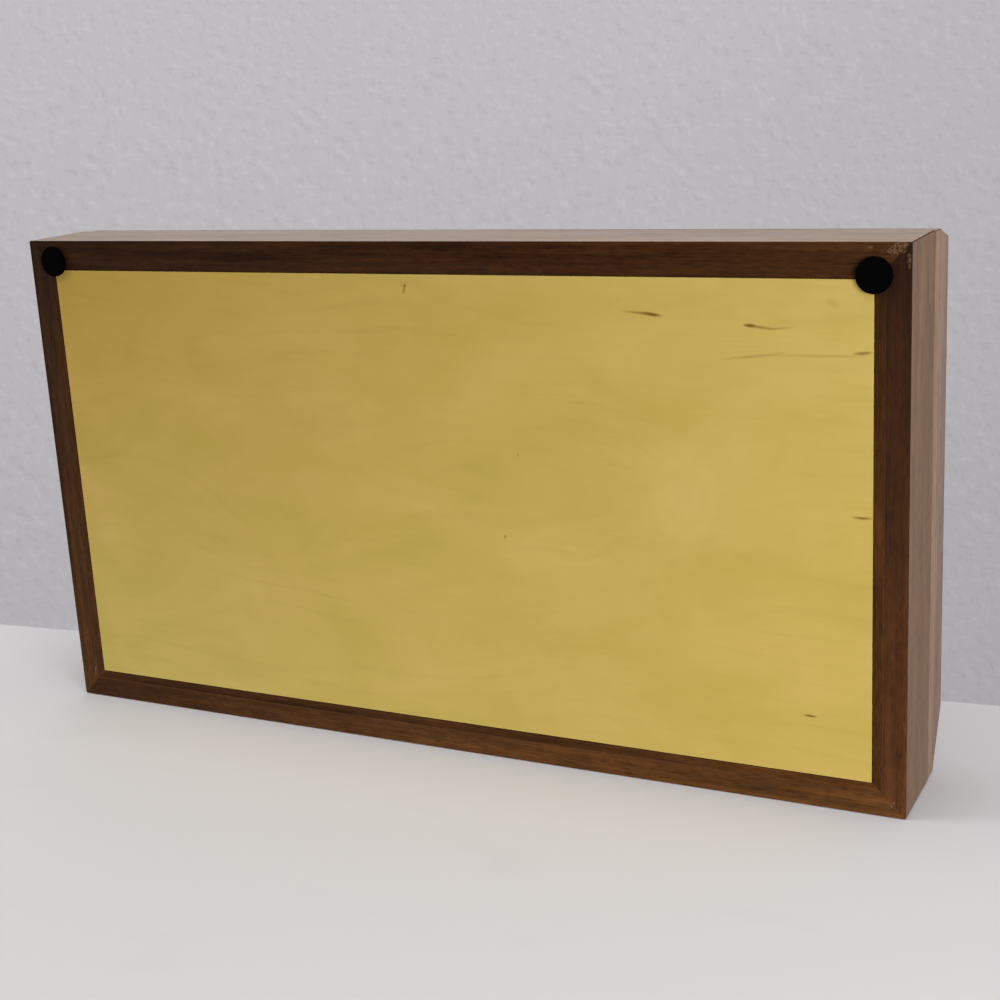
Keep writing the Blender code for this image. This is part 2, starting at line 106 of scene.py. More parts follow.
class NodeBench:
    """A node tree and the few nodes that everything is made from."""

    def __init__(self, tree: bpy.types.NodeTree) -> None:
        """Works on one tree."""
        self.tree = tree

    def add(self, kind: str) -> bpy.types.Node:
        """Adds a node of one kind."""
        return self.tree.nodes.new(kind)

    def feed(self, socket: Socket, value: Value) -> None:
        """Links an output to an input, or sets the input to a plain value.

        Args:
            socket: The input.
            value: An output socket, a number or a colour.
        """
        if isinstance(value, Socket):
            self.tree.links.new(value, socket)
        elif isinstance(value, tuple) and len(value) == 3 and socket.type == "RGBA":
            socket.default_value = (*value, 1.0)
        else:
            socket.default_value = value

    def span(
        self, value: Value, low: float, high: float, to_low: float = 0.0, to_high: float = 1.0
    ) -> Socket:
        """Maps a value's range to another range, from 0 to 1 unless given, held at its ends."""
        node = self.add("ShaderNodeMapRange")
        for name, amount in zip(
            ("Value", "From Min", "From Max", "To Min", "To Max"), (value, low, high, to_low, to_high)
        ):
            self.feed(node.inputs[name], amount)
        return node.outputs["Result"]

    def sums(self, operation: str, *values: Value) -> Socket:
        """One arithmetic step on two or three values."""
        node = self.add("ShaderNodeMath")
        node.operation = operation
        for socket, value in zip(node.inputs, values):
            self.feed(socket, value)
        return node.outputs["Value"]

    def times(self, first: Value, second: Value) -> Socket:
        """The product of two values."""
        return self.sums("MULTIPLY", first, second)

    def coords(self, scale: Point, shift: Point = ORIGIN, turn: float = 0.0) -> Socket:
        """Object coordinates, moved, turned about Z and scaled.

        Args:
            scale: The scale along each axis.
            shift: The place that is moved to the origin first.
            turn: The angle about Z, in radians.

        Returns:
            The vector output.
        """
        source = self.add("ShaderNodeTexCoord")
        moved = self.add("ShaderNodeMapping")
        moved.vector_type = "TEXTURE"
        moved.inputs["Location"].default_value = shift
        moved.inputs["Rotation"].default_value = (0.0, 0.0, turn)
        moved.inputs["Scale"].default_value = tuple(1.0 / value for value in scale)
        self.feed(moved.inputs["Vector"], source.outputs["Object"])
        return moved.outputs["Vector"]

    def axes(self) -> bpy.types.bpy_prop_collection:
        """A point's X, Y and Z on the object, in metres."""
        split = self.add("ShaderNodeSeparateXYZ")
        self.feed(split.inputs[0], self.coords((1.0, 1.0, 1.0)))
        return split.outputs

    def noise(
        self, scale: Point, detail: float, rough: float = 0.5, warp: float = 0.0, shift: Point = ORIGIN
    ) -> Socket:
        """A noise field from 0 to 1.

        Args:
            scale: Features in a metre along each axis.
            detail: The octaves.
            rough: How strong the fine octaves are.
            warp: How far the field is distorted.
            shift: The place that is moved to the origin first.

        Returns:
            The value output.
        """
        node = self.add("ShaderNodeTexNoise")
        self.feed(node.inputs["Vector"], self.coords(scale, shift))
        self.feed(node.inputs["Scale"], 1.0)
        self.feed(node.inputs["Detail"], detail)
        self.feed(node.inputs["Roughness"], rough)
        self.feed(node.inputs["Distortion"], warp)
        return node.outputs["Fac"]

    def ramp(self, value: Value, stops: tuple[tuple[float, Colour], ...]) -> Socket:
        """A colour ramp.

        Args:
            value: What picks the colour, from 0 to 1.
            stops: Each stop's place and colour, in order.

        Returns:
            The colour output.
        """
        node = self.add("ShaderNodeValToRGB")
        elements = node.color_ramp.elements
        while len(elements) < len(stops):
            elements.new(0.5)
        for element, (place, colour) in zip(elements, stops):
            element.position = place
            element.color = (*colour, 1.0)
        self.feed(node.inputs["Fac"], value)
        return node.outputs["Color"]

    def blend(self, share: Value, under: Value, over: Value, way: str = "MIX") -> Socket:
        """Mixes two colours.

        Args:
            share: How much of the second there is.
            under: The first colour.
            over: The second colour.
            way: The blend mode.

        Returns:
            The colour output.
        """
        node = self.add("ShaderNodeMix")
        node.data_type = "RGBA"
        node.blend_type = way
        self.feed(node.inputs[0], share)
        self.feed(node.inputs[6], under)
        self.feed(node.inputs[7], over)
        return node.outputs[2]

    def tint(self, colour: Value, light: Value) -> Socket:
        """A colour that is multiplied by another, or by a brightness."""
        return self.blend(1.0, colour, light, "MULTIPLY")

    def shaders(self, share: Value, under: Socket, over: Socket) -> Socket:
        """Mixes two shaders, with that share of the second."""
        node = self.add("ShaderNodeMixShader")
        for socket, value in zip(node.inputs, (share, under, over)):
            self.feed(socket, value)
        return node.outputs[0]

    def spot(self, centre: Point, size: Point, turn: float = 0.0, ragged: float = 0.0) -> Socket:
        """A soft spot that is 1 at its middle and 0 at its edge.

        Args:
            centre: Its middle.
            size: Its half length on each axis.
            turn: Its angle about Z, in radians.
            ragged: How far its outline wanders.

        Returns:
            The value output.
        """
        vector = self.coords(tuple(1.0 / value for value in size), centre, turn)
        if ragged:
            wander = self.add("ShaderNodeTexNoise")
            self.feed(wander.inputs["Vector"], vector)
            self.feed(wander.inputs["Scale"], 1.7)
            shifted = self.add("ShaderNodeVectorMath")
            shifted.operation = "MULTIPLY_ADD"
            self.feed(shifted.inputs[0], wander.outputs["Color"])
            shifted.inputs[1].default_value = (ragged, ragged, ragged)
            self.feed(shifted.inputs[2], vector)
            centred = self.add("ShaderNodeVectorMath")
            centred.operation = "SUBTRACT"
            self.feed(centred.inputs[0], shifted.outputs[0])
            centred.inputs[1].default_value = (ragged / 2, ragged / 2, ragged / 2)
            vector = centred.outputs[0]
        node = self.add("ShaderNodeTexGradient")
        node.gradient_type = "SPHERICAL"
        self.feed(node.inputs["Vector"], vector)
        return node.outputs["Fac"]


class MaterialBench(NodeBench):
    """The nodes of a new material, round its Principled shader."""

    def __init__(self, name: str) -> None:
        """Starts a material of that name."""
        self.material = bpy.data.materials.new(name)
        self.material.use_nodes = True
        super().__init__(self.material.node_tree)
        self.shader = self.tree.nodes["Principled BSDF"]

    def finish(self, colour: Value, rough: Value, gloss: float, height: Socket, depth: float) -> Material:
        """Gives the shader its colour, roughness, gloss and bump.

        Args:
            colour: The base colour.
            rough: The roughness.
            gloss: The specular level.
            height: The bump's height field, from 0 to 1.
            depth: How deep the bump goes, in metres.

        Returns:
            The material.
        """
        self.feed(self.shader.inputs["Base Color"], colour)
        self.feed(self.shader.inputs["Roughness"], rough)
        self.shader.inputs["Specular IOR Level"].default_value = gloss
        bump = self.add("ShaderNodeBump")
        bump.inputs["Strength"].default_value = 1.0
        bump.inputs["Distance"].default_value = depth
        self.feed(bump.inputs["Height"], height)
        self.feed(self.shader.inputs["Normal"], bump.outputs["Normal"])
        return self.material


@dataclass(frozen=True)
class Chip:
    """A spot where the wood is torn or dusty, and pale fibres show."""

    centre: Point
    size: Point
    turn: float = 0.0


@dataclass(frozen=True)
class UndersideStainAndPaintedLight:
    """The darker lower edge of a board: an oiled stain, with painted light in the ramp from its low end to
    its high end.
    """

    level: float
    reach: tuple[float, float]
    low: Colour
    high: Colour


@dataclass(frozen=True)
class Wood:
    """An open-pored wood, with growth figure, fine streaks and short dark pores."""

    name: str
    colour: Colour
    grain: Grain
    seed: float = 0.0
    rough: tuple[float, float] = (0.50, 0.66)
    gloss: float = 0.22
    contrast: float = 0.8
    underside: UndersideStainAndPaintedLight | None = None
    chips: tuple[Chip, ...] = ()
    chip_colour: Colour = (0.34, 0.22, 0.125)

    def drawn(
        self, bench: NodeBench, along: float, across: float, detail: float, rough: float, warp: float = 0.0
    ) -> Socket:
        """A noise field that is drawn out along the grain.

        Args:
            bench: The material's nodes.
            along: Features in a metre along the grain.
            across: Features in a metre across it.
            detail: The octaves.
            rough: How strong the fine octaves are.
            warp: How far the field is distorted.

        Returns:
            The value output.
        """
        scale = (along, across, across) if self.grain is Grain.ALONG_X else (across, along, across)
        shift = (self.seed * 0.37, self.seed * 0.23, self.seed * 0.11)
        return bench.noise(scale, detail, rough, warp, shift)

    def board_colour(self, bench: NodeBench) -> Value:
        """The colour of the board, darker on its underside, where a stain and painted light ramp from one
        end to the other.

        Args:
            bench: The material's nodes.

        Returns:
            The colour output, or the plain colour.
        """
        under = self.underside
        if under is None:
            return self.colour
        place = bench.axes()
        along = place[self.grain.value]
        # Painted light: the underside's tone ramps from its low end to its high end as the light fell, over
        # the oiled stain.
        shade = bench.blend(bench.span(along, *under.reach), under.low, under.high)
        bands = self.drawn(bench, 7.0, 240.0, 3.0, 0.6)
        grit = self.drawn(bench, 260.0, 620.0, 2.0, 0.6)
        swing = bench.times(
            bench.span(bands, 0.36, 0.64, 0.74, 1.24), bench.span(grit, 0.35, 0.70, 0.88, 1.16)
        )
        below = bench.span(place["Z"], under.level + 0.0003, under.level + 0.0006, 1.0, 0.0)
        return bench.blend(below, self.colour, bench.tint(shade, swing))

    def make(self) -> Material:
        """Builds the material."""
        bench = MaterialBench(self.name)
        figure = self.drawn(bench, 4.5, 55.0, 2.0, 0.45, 0.6)
        streak = self.drawn(bench, 16.0, 380.0, 4.0, 0.62)
        mottle = self.drawn(bench, 55.0, 260.0, 3.0, 0.6)
        fine = self.drawn(bench, 70.0, 1900.0, 2.0, 0.6)
        pores = self.drawn(bench, 210.0, 3000.0, 1.0, 0.4)
        tone = bench.sums("MULTIPLY_ADD", figure, 0.50, bench.times(streak, 0.50))
        swing = self.contrast
        dark = (1.0 - 0.46 * swing, 1.0 - 0.50 * swing, 1.0 - 0.52 * swing)
        light = (1.0 + 0.40 * swing, 1.0 + 0.44 * swing, 1.0 + 0.46 * swing)
        grown = bench.ramp(tone, ((0.34, dark), (0.50, (1.0, 1.0, 1.0)), (0.66, light)))
        colour = bench.tint(self.board_colour(bench), grown)
        lift = bench.span(fine, 0.35, 0.65, 1.0 - 0.12 * swing, 1.0 + 0.12 * swing)
        blotch = bench.span(mottle, 0.32, 0.68, 1.0 - 0.20 * swing, 1.0 + 0.16 * swing)
        colour = bench.tint(colour, bench.times(lift, blotch))
        pore = bench.span(pores, 0.60, 0.70)
        colour = bench.tint(colour, bench.span(pore, 0.0, 1.0, 1.0, 0.62))
        for index, chip in enumerate(self.chips):
            patch = bench.span(bench.spot(chip.centre, chip.size, chip.turn, 1.0), 0.02, 0.45)
            grit = 2100.0 + 90.0 * index
            fibre = bench.noise((grit, grit * 0.6, grit), 3.0, 0.6, 2.0)
            torn = bench.span(bench.times(patch, fibre), 0.48, 0.64, 0.0, 0.62)
            colour = bench.blend(torn, colour, self.chip_colour)
        rough = bench.span(streak, 0.35, 0.65, *self.rough)
        height = bench.sums("SUBTRACT", bench.times(fine, 0.35), pore)
        return bench.finish(colour, rough, self.gloss, height, 0.00001)


@dataclass(frozen=True)
class Fleck:
    """A brown mineral fleck in the plywood's face."""

    centre: tuple[float, float]
    size: tuple[float, float]
    turn: float
    strength: float


@dataclass(frozen=True)
class Swell:
    """A place where the plywood's growth lines bow out, like water round a stone."""

    centre: tuple[float, float]
    size: tuple[float, float]
    rise: float


@dataclass(frozen=True)
class BirchPly:
    """Clear-finished rotary-cut birch: soft growth lines, clouds, painted light that brightens it from
    corner to corner, a pale eye and brown flecks.
    """

    name: str
    left: Colour
    right: Colour
    far: Colour
    near: Colour
    reach: tuple[float, float]
    level: float
    flecks: tuple[Fleck, ...]
    swells: tuple[Swell, ...]
    eye: Fleck
    line_colour: Colour = (0.24, 0.12, 0.018)
    eye_colour: Colour = (0.85, 0.74, 0.36)
    fleck_colour: Colour = (0.20, 0.090, 0.006)

    def growth(self, bench: NodeBench, upward: Socket) -> Socket:
        """How far along the growth a point is, in metres.

        Args:
            bench: The material's nodes.
            upward: The point's place across the grain.

        Returns:
            The value output.
        """
        total = upward
        for swell in self.swells:
            bulge = bench.spot((*swell.centre, self.level), (*swell.size, 1.0))
            total = bench.sums("ADD", total, bench.times(bench.sums("POWER", bulge, 1.6), swell.rise))
        wave = bench.noise((9.0, 17.0, 1.0), 2.0, 0.4, shift=(0.31, 0.12, 0.0))
        ripple = bench.noise((38.0, 60.0, 1.0), 2.0, shift=(0.11, 0.32, 0.0))
        total = bench.sums("ADD", total, bench.span(wave, 0.2, 0.8, -0.012, 0.012))
        return bench.sums("ADD", total, bench.span(ripple, 0.2, 0.8, -0.0016, 0.0016))

    def tone_with_painted_light(self, bench: NodeBench, across: Socket, upward: Socket) -> Socket:
        """The face's colour, which drifts from side to side and from edge to edge, partly its own tone and
        partly painted light, and in soft clouds.

        Args:
            bench: The material's nodes.
            across: The point's place along the box.
            upward: Its place across the box.

        Returns:
            The colour output.
        """
        # Painted light with the ply's own tone: the four corner colours make it brighter towards -Y and,
        # along its +Y edge, towards -X.
        rightward = bench.span(across, self.reach[0], -self.reach[0])
        lower = bench.span(upward, self.reach[1], -self.reach[1])
        upper_row = bench.blend(rightward, self.left, self.right)
        lower_row = bench.blend(rightward, self.far, self.near)
        clouds = bench.noise((22.0, 40.0, 1.0), 3.0, 0.6, 0.6, (0.7, 0.2, 0.0))
        warm = bench.blend(bench.span(clouds, 0.30, 0.70), (0.93, 0.945, 0.82), (1.06, 1.05, 1.13))
        return bench.tint(bench.blend(lower, upper_row, lower_row), warm)

    def make(self) -> Material:
        """Builds the material."""
        bench = MaterialBench(self.name)
        place = bench.axes()
        colour = self.tone_with_painted_light(bench, place["X"], place["Y"])
        grown = self.growth(bench, place["Y"])
        for spacing, breadth, depth, shift in ((0.0094, 0.16, 0.085, 0.0), (0.0053, 0.24, 0.035, 0.3)):
            rings = bench.sums("ADD", bench.sums("DIVIDE", grown, spacing), shift)
            line = bench.span(bench.sums("PINGPONG", rings, 0.5), 0.0, breadth, 1.0, 0.0)
            patchy = bench.noise((16.0, 40.0, 1.0), 2.0, shift=(shift, 0.4, 0.0))
            share = bench.times(line, bench.span(patchy, 0.44, 0.68))
            colour = bench.blend(bench.times(share, depth), colour, self.line_colour)
        fibre = bench.noise((45.0, 1300.0, 45.0), 3.0, 0.6)
        colour = bench.tint(colour, bench.span(fibre, 0.3, 0.7, 0.985, 1.015))
        glow = bench.spot((*self.eye.centre, self.level), (*self.eye.size, 1.0), self.eye.turn, 0.35)
        halo = bench.sums("PINGPONG", bench.times(glow, 3.2), 0.5)
        bright = bench.times(bench.span(halo, 0.0, 0.5, 0.45, 1.0), glow)
        bright = bench.times(bench.span(bright, 0.0, 0.6), self.eye.strength)
        colour = bench.blend(bright, colour, self.eye_colour)
        for fleck in self.flecks:
            mark = bench.spot((*fleck.centre, self.level), (*fleck.size, 0.01), fleck.turn, 0.55)
            colour = bench.blend(
                bench.span(mark, 0.02, 0.75, 0.0, fleck.strength), colour, self.fleck_colour
            )
        return bench.finish(colour, bench.span(fibre, 0.3, 0.7, 0.42, 0.50), 0.35, fibre, 0.000005)


@dataclass(frozen=True)
class Fabric:
    """Short matt pile: felt or velvet."""

    name: str
    colour: Colour
    tips: Colour
    pile: float
    sheen: float

    def make(self) -> Material:
        """Builds the material."""
        bench = MaterialBench(self.name)
        tufts = bench.noise((self.pile, self.pile, self.pile), 3.0, 0.65)
        brushed = bench.noise((45.0, 80.0, 45.0), 2.0)
        colour = bench.blend(bench.span(tufts, 0.4, 0.7, 0.0, 0.8), self.colour, self.tips)
        colour = bench.tint(colour, bench.span(brushed, 0.3, 0.7, 0.82, 1.18))
        bench.shader.inputs["Sheen Weight"].default_value = self.sheen
        bench.shader.inputs["Sheen Roughness"].default_value = 0.4
        return bench.finish(colour, 0.95, 0.02, tufts, 0.00012)


@dataclass(frozen=True)
class TurnedBrass:
    """Plain turned brass, slightly dulled and scratched."""

    name: str
    colour: Colour

    def make(self) -> Material:
        """Builds the material."""
        bench = MaterialBench(self.name)
        rings = bench.noise((300.0, 300.0, 9000.0), 2.0, 0.6)
        stain = bench.noise((160.0, 160.0, 160.0), 3.0, 0.6)
        dull = tuple(value * 0.62 for value in self.colour)
        colour = bench.blend(bench.span(stain, 0.45, 0.75, 0.0, 0.7), self.colour, dull)
        bench.shader.inputs["Metallic"].default_value = 1.0
        return bench.finish(colour, bench.span(stain, 0.35, 0.7, 0.22, 0.42), 0.5, rings, 0.00001)


@dataclass(frozen=True)
class Glue:
    """The thin hardened glue between two boards, stained like the wood, going from its front colour to its
    back colour, a difference that is painted light.
    """

    name: str
    front: Colour
    back: Colour
    reach: float

    def make(self) -> Material:
        """Builds the material."""
        bench = MaterialBench(self.name)
        drops = bench.noise((500.0, 500.0, 500.0), 3.0, 0.6)
        # Painted light: the glue's tone ramps from its front to its back, like the board undersides.
        front_to_back_painted_light = bench.span(bench.axes()["Y"], -self.reach, self.reach)
        colour = bench.blend(front_to_back_painted_light, self.front, self.back)
        colour = bench.tint(colour, bench.span(drops, 0.35, 0.65, 0.8, 1.4))
        return bench.finish(colour, bench.span(drops, 0.3, 0.7, 0.55, 0.75), 0.12, drops, 0.00002)


def picked(geometry: list, kind: type) -> list:
    """The items of one kind in what a bmesh operator returns."""
    return [item for item in geometry if isinstance(item, kind)]


def placed(name: str, data: bpy.types.ID) -> bpy.types.Object:
    """An object of that name and data, in the scene and at the origin."""
    item = bpy.data.objects.new(name, data)
    bpy.context.scene.collection.objects.link(item)
    return item


def as_data(name: str, mesh: Mesh) -> bpy.types.Mesh:
    """The finished mesh as data of that name. It is freed."""
    data = bpy.data.meshes.new(name)
    mesh.to_mesh(data)
    mesh.free()
    return data


def round_over(mesh: Mesh, edges: list[bmesh.types.BMEdge], offset: float, segments: int) -> None:
    """Rounds some edges of a mesh over, that far in and in so many steps."""
    bmesh.ops.bevel(
        mesh, geom=edges, offset=offset, affect="EDGES", segments=segments, profile=0.5, material=-1
    )


def finished(name: str, mesh: Mesh, material: Material, smooth: bool = True) -> bpy.types.Object:
    """Makes an object of a mesh that is drawn where it belongs.

    Args:
        name: The object's name.
        mesh: The mesh, which is freed.
        material: Its finish.
        smooth: Whether its faces are shaded smooth between sharp edges.

    Returns:
        The object, at the origin.
    """
    bmesh.ops.recalc_face_normals(mesh, faces=mesh.faces)
    data = as_data(name, mesh)
    data.materials.append(material)
    if smooth:
        data.shade_smooth()
        data.set_sharp_from_angle(angle=math.radians(SHARP_EDGE))
    return placed(name, data)


def seated(piece: bpy.types.Object, body: Body, slot: Slot, *nodes: str) -> None:
    """Lets a piece ride on a body, in place of the nodes that it stands for.

    Args:
        piece: The new piece.
        body: The body that it moves with.
        slot: The record's slot for its finish; not used.
        nodes: The solids that it stands for.
    """
    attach(piece, body.value)
    if nodes:
        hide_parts(*nodes)
    LOG.info("%s rides on %s", piece.name, body.value)


def dress(nodes: dict, name: str, material: Material) -> None:
    """Gives a solid that keeps its shape a better finish.

    Args:
        nodes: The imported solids.
        name: The solid's name.
        material: Its finish.
    """
    solid = nodes[name]
    solid.data.materials.clear()
    solid.data.materials.append(material)
    LOG.info("%s is finished as %s", name, material.name)


def block(mesh: Mesh, low: Vector, high: Vector) -> list[bmesh.types.BMVert]:
    """Adds a box to a mesh.

    Args:
        mesh: The mesh.
        low: The box's lowest corner.
        high: Its highest corner.

    Returns:
        The box's vertices.
    """
    made = bmesh.ops.create_cube(mesh, size=1.0)["verts"]
    bmesh.ops.scale(mesh, vec=high - low, verts=made)
    bmesh.ops.translate(mesh, vec=(low + high) / 2, verts=made)
    return made


def outline(left: str, front: str, right: str, back: str) -> tuple[Vector, Vector]:
    """The lowest and highest corners of a frame, from the names of its four boards."""
    low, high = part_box(left)[0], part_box(right)[1]
    return Vector((low.x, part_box(front)[0].y, low.z)), Vector((high.x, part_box(back)[1].y, high.z))


@dataclass
class JointedFrame:
    """The glue lines of a mitred frame: its rings, and a thin leaf in each mitre."""

    low: Vector
    high: Vector
    width: float
    bevels: tuple[tuple[Vector, Vector], ...] = ()
    recess: float = 0.00006
    leaf: float = 0.00034
    leaf_start: float = 0.00045

    def leaves(self, mesh: Mesh, bottom: float, top: float) -> None:
        """Adds the four leaves that fill the mitres.

        Args:
            mesh: The mesh to add them to.
            bottom: Their lowest height.
            top: Their highest height.
        """
        reach = self.width * math.sqrt(2.0)
        for side_x, x in ((-1, self.low.x), (1, self.high.x)):
            for side_y, y in ((-1, self.low.y), (1, self.high.y)):
                made = block(
                    mesh,
                    Vector((self.leaf_start, -self.leaf / 2, bottom)),
                    Vector((reach, self.leaf / 2, top)),
                )
                turn = Matrix.Rotation(math.atan2(-side_y, -side_x), 3, "Z")
                bmesh.ops.rotate(mesh, matrix=turn, verts=made)
                bmesh.ops.translate(mesh, vec=Vector((x, y, 0.0)), verts=made)

    def ring(self, mesh: Mesh, inset: float, width: float, bottom: float, top: float) -> None:
        """Adds a rectangular ring that runs inside the frame's outline.

        Args:
            mesh: The mesh to add it to.
            inset: How far its outside lies inside the outline.
            width: How wide it is.
            bottom: Its lowest height.
            top: Its highest height.
        """
        loops = []
        for margin in (inset, inset + width):
            left, right = self.low.x + margin, self.high.x - margin
            front, back = self.low.y + margin, self.high.y - margin
            spots = ((left, front), (right, front), (right, back), (left, back))
            verts = [mesh.verts.new((x, y, bottom)) for x, y in spots]
            loops += [mesh.edges.new(pair) for pair in zip(verts, verts[1:] + verts[:1])]
        strip = bmesh.ops.bridge_loops(mesh, edges=loops)["faces"]
        grown = bmesh.ops.extrude_face_region(mesh, geom=strip)
        verts = picked(grown["geom"], bmesh.types.BMVert)
        bmesh.ops.translate(mesh, vec=Vector((0.0, 0.0, top - bottom)), verts=verts)

    def trim(self, mesh: Mesh) -> None:
        """Takes off what would stand out of the bevels."""
        for point, normal in self.bevels:
            everything = mesh.verts[:] + mesh.edges[:] + mesh.faces[:]
            sawn = bmesh.ops.bisect_plane(
                mesh,
                geom=everything,
                dist=0.000001,
                plane_co=point - normal * self.recess,
                plane_no=normal,
                clear_outer=True,
            )
            edges = picked(sawn["geom_cut"], bmesh.types.BMEdge)
            bmesh.ops.holes_fill(mesh, edges=edges, sides=0)


@dataclass(frozen=True)
class Board:
    """One board of the case, with the tones of its lower edge from one end to the other: a dark stain, with
    painted light in how these tones differ.
    """

    name: str
    grain: Grain
    low: Colour
    high: Colour
    chips: tuple[Chip, ...] = ()
    colour: Colour | None = None
    rough: tuple[float, float] = (0.56, 0.70)
    gloss: float = 0.12
    contrast: float = 0.8


@dataclass
class Case:
    """The case: mitred walls and liners round a flush plywood bottom, with two felt feet."""

    nodes: dict
    walnut: Colour = (0.157, 0.090, 0.052)
    liner_gap: float = 0.0003
    smear: float = 0.00022
    glue_lip: float = 0.00002
    glue_below_rim: float = 0.0004
    pad_segments: int = 72
    pad_fuzz: float = 0.00010
    pad_rim: float = 0.00028
    pad_rings: int = 3
    pad_ring_share: float = 0.22

    def wood(self, name: str, grain: Grain, seed: float, **more: object) -> Material:
        """Walnut for one board.

        Args:
            name: The board's name.
            grain: The way its grain runs.
            seed: Picks its figure.
            more: Any other field of the finish.

        Returns:
            The material.
        """
        more.setdefault("colour", self.walnut)
        return Wood(f"walnut_{name}", grain=grain, seed=seed, **more).make()

    def boards(self, left: float, back: float, level: float) -> tuple[Board, ...]:
        """The walls and the liners, each with its own lower edge, whose low and high tones are painted light
        over a dark stain.

        Args:
            left: The case's left end.
            back: Its back.
            level: Its underside.

        Returns:
            The boards, in the order of their figures.
        """
        fibres = (
            Chip((left + 0.0042, back - 0.0020, level), (0.0052, 0.0026, 0.0010), -0.3),
            Chip((left + 0.0009, back - 0.0056, level), (0.0010, 0.0036, 0.0010)),
            Chip((left + 0.0122, back - 0.0016, level), (0.0014, 0.0006, 0.0010), 0.3),
        )
        corner = (Chip((left + 0.0044, -back + 0.0045, level), (0.0010, 0.0018, 0.0010), 0.5),)
        residue = (Chip((-left - 0.0063, -back + 0.0103, level), (0.0010, 0.0026, 0.0010), 0.2),)
        along, across = Grain.ALONG_X, Grain.ALONG_Y
        # Painted light: the low and high tones are brighter towards -X and the front, and the front boards
        # brighter than the back ones.
        return (
            Board(
                "back_wall",
                along,
                (0.060, 0.0215, 0.0070),
                (0.030, 0.0105, 0.0036),
                fibres,
                colour=(0.184, 0.103, 0.057),
                rough=(0.34, 0.46),
                gloss=0.11,
            ),
            Board(
                "front_wall", along, (0.146, 0.0570, 0.0150), (0.060, 0.0230, 0.0070), corner + residue
            ),
            Board(
                "left_wall",
                across,
                (0.102, 0.0370, 0.0100),
                (0.020, 0.0052, 0.0007),
                fibres + corner,
                colour=(0.178, 0.108, 0.069),
                gloss=0.16,
                contrast=0.55,
            ),
            Board("right_wall", across, (0.116, 0.0460, 0.0150), (0.020, 0.0080, 0.0030), residue),
            Board("back_liner", along, (0.062, 0.0200, 0.0040), (0.030, 0.0100, 0.0030)),
            Board("front_liner", along, (0.105, 0.0380, 0.0080), (0.056, 0.0210, 0.0060)),
            Board("left_liner", across, (0.104, 0.0390, 0.0088), (0.024, 0.0070, 0.0010)),
            Board("right_liner", across, (0.090, 0.0330, 0.0090), (0.026, 0.0080, 0.0020)),
        )

    def walls(self) -> None:
        """Finishes the walls and liners, with their undersides stained dark and carrying each board's
        painted light.
        """
        low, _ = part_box("left_wall")
        _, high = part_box("back_wall")
        reaches = {Grain.ALONG_X: (low.x, -low.x), Grain.ALONG_Y: (-high.y, high.y)}
        for number, board in enumerate(self.boards(low.x, high.y, low.z), start=1):
            material = self.wood(
                board.name,
                board.grain,
                float(number),
                colour=board.colour or self.walnut,
                underside=UndersideStainAndPaintedLight(low.z, reaches[board.grain], board.low, board.high),
                chips=board.chips,
                rough=board.rough,
                gloss=board.gloss,
                contrast=board.contrast,
            )
            dress(self.nodes, board.name, material)

    def glue(self) -> None:
        """Fills the line between the walls and the liners, and the mitres."""
        low, high = outline("left_wall", "front_wall", "right_wall", "back_wall")
        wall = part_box("left_wall")[1].x - low.x
        frame = JointedFrame(low, high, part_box("left_liner")[1].x - low.x)
        mesh = bmesh.new()
        bottom, top = low.z + self.glue_lip, high.z - self.glue_below_rim
        frame.ring(mesh, wall - self.smear, self.liner_gap + 2 * self.smear, bottom, top)
        frame.leaves(mesh, bottom, top)
        # The front glue colour is brighter than the back one as painted light.
        material = Glue("case_glue_line", (0.108, 0.045, 0.017), (0.034, 0.0130, 0.0045), high.y).make()
        seated(finished("case_glue", mesh, material, False), Body.CASE, Slot.WALNUT)

    def bottom(self) -> None:
        """Finishes the plywood bottom."""
        low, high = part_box("bottom_panel")
        flecks = (
            Fleck((-0.0805, 0.0684), (0.0080, 0.0006), 0.08, 0.60),
            Fleck((-0.0840, 0.0681), (0.0046, 0.0008), 0.14, 1.00),
            Fleck((-0.1160, 0.0653), (0.0026, 0.0008), 0.05, 1.00),
            Fleck((-0.1192, 0.0649), (0.0060, 0.0006), 0.10, 0.60),
            Fleck((-0.1248, 0.0646), (0.0064, 0.0006), -0.10, 0.32),
            Fleck((-0.1508, 0.0578), (0.0040, 0.0007), -0.10, 0.75),
            Fleck((-0.1380, 0.0566), (0.0190, 0.0006), -0.02, 0.26),
            Fleck((-0.1170, 0.0558), (0.0140, 0.0006), -0.12, 0.30),
            Fleck((-0.1506, 0.0071), (0.0040, 0.0006), 0.0, 0.85),
            Fleck((-0.1342, -0.0597), (0.0028, 0.0006), 0.05, 0.90),
            Fleck((0.0040, 0.0758), (0.0007, 0.0012), 0.15, 0.80),
            Fleck((0.0044, 0.0742), (0.0006, 0.0014), 0.15, 0.65),
            Fleck((-0.0286, -0.0090), (0.0006, 0.0009), 0.0, 0.60),
            Fleck((-0.0351, 0.0200), (0.0006, 0.0008), 0.0, 0.35),
            Fleck((-0.1415, 0.0726), (0.0032, 0.0016), 0.4, 0.18),
        )
        swells = (
            Swell((0.070, -0.012), (0.075, 0.050), 0.026),
            Swell((-0.0945, 0.020), (0.040, 0.026), 0.012),
            Swell((-0.0945, -0.008), (0.040, 0.026), -0.012),
            Swell((-0.010, -0.045), (0.070, 0.030), 0.010),
        )
        # The corner colours left, right, far and near are partly the ply's tone and partly painted light.
        finish = BirchPly(
            "birch_ply",
            left=(0.490, 0.325, 0.060),
            right=(0.590, 0.440, 0.118),
            far=(0.690, 0.520, 0.140),
            near=(0.650, 0.475, 0.115),
            reach=(high.x, high.y),
            level=low.z,
            flecks=flecks,
            swells=swells,
            eye=Fleck((-0.0935, 0.0090), (0.019, 0.022), 0.0, 0.10),
        )
        dress(self.nodes, "bottom_panel", finish.make())

